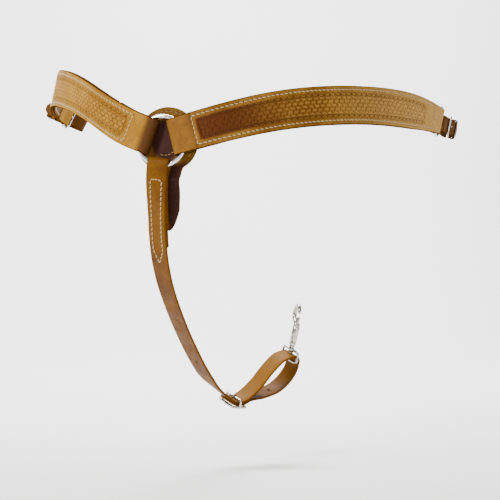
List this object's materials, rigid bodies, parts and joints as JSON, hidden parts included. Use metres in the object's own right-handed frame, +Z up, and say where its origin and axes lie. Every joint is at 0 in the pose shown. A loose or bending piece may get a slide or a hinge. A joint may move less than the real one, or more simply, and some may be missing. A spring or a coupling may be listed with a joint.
{
  "type": "horse breastplate",
  "caption": "Western breast collar: tooled leather chest straps folded round a centre ring with a leather safe, a down strap with an adjustable loop and a swivel snap, and buckled tugs.",
  "frame": {"origin": "centre of the front ring, in the plane of its wire", "axes": "+X to the horse's left, +Y back towards the saddle, +Z up"},
  "size_m": [0.6764, 0.4459, 0.5156],
  "materials": {
    "tooled_leather": "basket-weave tooled top grain, oiled",
    "harness_leather": "smooth top grain, burnished edges",
    "lining_leather": "smooth lining leather",
    "chromed_steel": "polished plating",
    "nickel_plate": "nickel plate",
    "spring_steel": "bare spring wire"
  },
  "bodies": {
    "centre": {"center_ring": "chromed_steel", "ring_safe": "harness_leather", "safe_lining": "lining_leather"},
    "left_strap": {"left_chest_strap": "tooled_leather", "left_strap_lining": "lining_leather"},
    "left_dee": {"left_end_dee": "chromed_steel"},
    "left_tug": {"left_tug_strap": "harness_leather", "left_tug_buckle": "nickel_plate"},
    "left_tongue": {"left_tug_tongue": "nickel_plate"},
    "left_keeper": {"left_tug_keeper": "harness_leather"},
    "right_strap": {"right_chest_strap": "tooled_leather", "right_strap_lining": "lining_leather"},
    "right_dee": {"right_end_dee": "chromed_steel"},
    "right_tug": {"right_tug_strap": "harness_leather", "right_tug_buckle": "nickel_plate"},
    "right_tongue": {"right_tug_tongue": "nickel_plate"},
    "right_keeper": {"right_tug_keeper": "harness_leather"},
    "down_strap": {"down_strap": "harness_leather", "girth_buckle": "nickel_plate"},
    "girth_tongue": {"girth_tongue": "nickel_plate"},
    "snap_eye": {"snap_eye": "nickel_plate"},
    "snap": {"snap_body": "nickel_plate", "snap_spring": "spring_steel"},
    "snap_bolt": {"snap_bolt": "nickel_plate"}
  },
  "joints": [
    {"name": "left_strap_on_ring", "type": "hinge", "parent": "centre", "child": "left_strap", "pos_m": [0, 0, 0], "axis": [0, 1, 0], "range_deg": [-8, 8]},
    {"name": "left_dee_swing", "type": "hinge", "parent": "left_strap", "child": "left_dee", "pos_m": [0.30939, 0.35293, 0.05016], "axis": [0.2001, 0.0718, 0.9771], "range_deg": [-40, 20]},
    {"name": "left_tug_swing", "type": "hinge", "parent": "left_dee", "child": "left_tug", "pos_m": [0.31028, 0.37783, 0.04815], "axis": [0.2001, 0.0718, 0.9771], "range_deg": [-25, 15]},
    {"name": "left_tongue_hinge", "type": "hinge", "parent": "left_tug", "child": "left_tongue", "pos_m": [0.31896, 0.40134, 0.04464], "axis": [0.2001, 0.0718, 0.9771], "range_deg": [0, 6]},
    {"name": "left_keeper_slide", "type": "slide", "parent": "left_tug", "child": "left_keeper", "axis": [0.0355, 0.9961, -0.0804], "range_m": [0, 0.002]},
    {"name": "right_strap_on_ring", "type": "hinge", "parent": "centre", "child": "right_strap", "pos_m": [0, 0, 0], "axis": [0, 1, 0], "range_deg": [-8, 8]},
    {"name": "right_dee_swing", "type": "hinge", "parent": "right_strap", "child": "right_dee", "pos_m": [-0.29954, 0.34595, 0.07836], "axis": [0.3507, 0.2972, 0.8881], "range_deg": [-30, 30]},
    {"name": "right_tug_swing", "type": "hinge", "parent": "right_dee", "child": "right_tug", "pos_m": [-0.30455, 0.36971, 0.07239], "axis": [0.3507, 0.2972, 0.8881], "range_deg": [-25, 15]},
    {"name": "right_tongue_hinge", "type": "hinge", "parent": "right_tug", "child": "right_tongue", "pos_m": [-0.3099, 0.35964, 0.07787], "axis": [-0.3507, -0.2972, -0.8881], "range_deg": [0, 6]},
    {"name": "right_keeper_slide", "type": "slide", "parent": "right_tug", "child": "right_keeper", "axis": [-0.9148, -0.0942, 0.3927], "range_m": [0, 0.002]},
    {"name": "down_strap_on_ring", "type": "hinge", "parent": "centre", "child": "down_strap", "pos_m": [-0.00406, 0, -0.02889], "axis": [0.9903, 0, -0.1392], "range_deg": [-10, 0]},
    {"name": "girth_tongue_hinge", "type": "hinge", "parent": "down_strap", "child": "girth_tongue", "pos_m": [-0.00019, 0.3074, -0.37183], "axis": [-0.7907, 0.5194, 0.3239], "range_deg": [0, 6]},
    {"name": "snap_eye_swing", "type": "hinge", "parent": "down_strap", "child": "snap_eye", "pos_m": [0.06812, 0.37799, -0.31828], "axis": [0.7907, -0.5194, -0.3239], "range_deg": [-30, 8]},
    {"name": "snap_swivel", "type": "hinge", "parent": "snap_eye", "child": "snap", "pos_m": [0.07383, 0.37424, -0.29832], "axis": [0.2707, -0.1778, 0.9461], "continuous": true},
    {"name": "snap_bolt_slide", "type": "slide", "parent": "snap", "child": "snap_bolt", "axis": [-0.2707, 0.1778, -0.9461], "range_m": [0, 0.005], "stiffness_N_per_m": 300, "springref_m": -0.004, "deforming": ["snap_spring"]}
  ]
}
